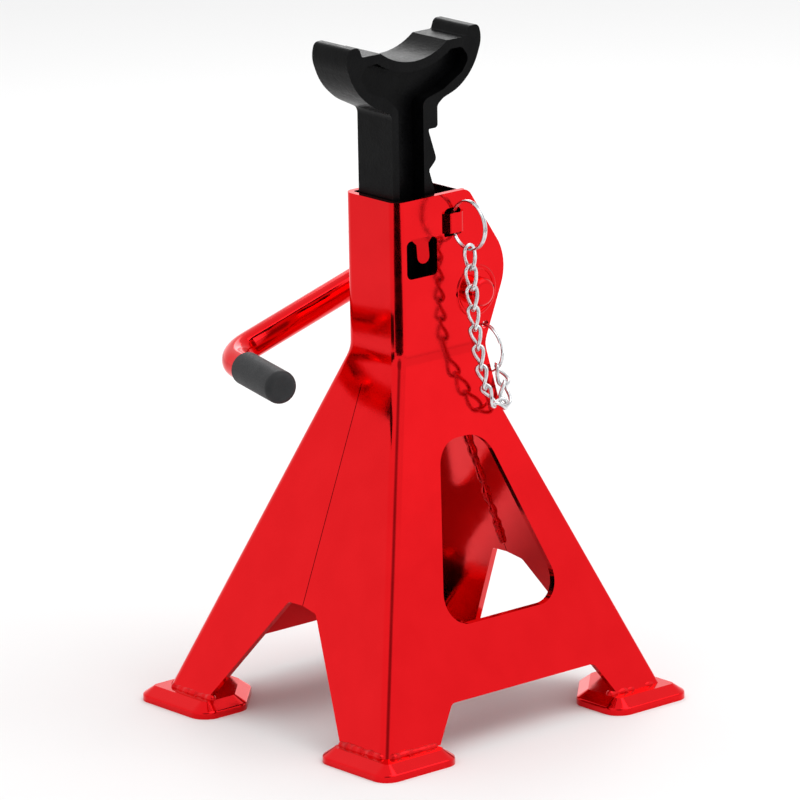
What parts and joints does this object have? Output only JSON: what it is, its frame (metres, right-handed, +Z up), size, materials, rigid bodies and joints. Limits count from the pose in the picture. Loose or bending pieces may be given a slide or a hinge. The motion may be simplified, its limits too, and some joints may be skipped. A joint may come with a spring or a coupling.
{
  "type": "axle jack stand",
  "caption": "Sheet-steel axle jack stand: a folded tower on welded pads, a toothed bar with a saddle that slides up, and a lift handle whose pawl holds it.",
  "frame": {"origin": "on the ground under the middle of the four pads", "axes": "+Z up along the ratchet bar, +X across the saddle towards the pawl housing, +Y towards the handle arm"},
  "size_m": [0.19, 0.18, 0.3208],
  "materials": {
    "red_paint": "gloss",
    "black_casting": "semi-matt black coat",
    "plain_steel": "bare",
    "grey_rubber": "matt",
    "bright_zinc": "bright zinc plate"
  },
  "bodies": {
    "frame": {"tower_sheet": "red_paint", "back_plate": "red_paint", "foot_pad_front_left": "red_paint", "foot_pad_front_right": "red_paint", "foot_pad_rear_left": "red_paint", "foot_pad_rear_right": "red_paint", "foot_weld_front_left": "red_paint", "foot_weld_front_right": "red_paint", "foot_weld_rear_left": "red_paint", "foot_weld_rear_right": "red_paint", "seam_weld_back": "red_paint", "seam_weld_pawl_side": "red_paint"},
    "bar": {"ratchet_bar": "black_casting"},
    "handle": {"pawl": "black_casting", "roll_pin": "plain_steel", "handle_rod": "red_paint", "rubber_grip": "grey_rubber"},
    "chain": {"upper_split_ring": "bright_zinc", "lower_split_ring": "bright_zinc", "chain_links": "bright_zinc"}
  },
  "joints": [
    {"name": "bar_slide", "type": "slide", "parent": "frame", "child": "bar", "axis": [0, 0, 1], "range_m": [-0.038, 0.076]},
    {"name": "handle_lift", "type": "hinge", "parent": "frame", "child": "handle", "pos_m": [0.0267, 0, 0.1967], "axis": [0, 1, 0], "range_deg": [0, 30]},
    {"name": "chain_swing", "type": "hinge", "parent": "frame", "child": "chain", "pos_m": [0.0135, -0.0185, 0.232], "axis": [0.3368, 0, -0.9416], "range_deg": [-12, 0]}
  ]
}
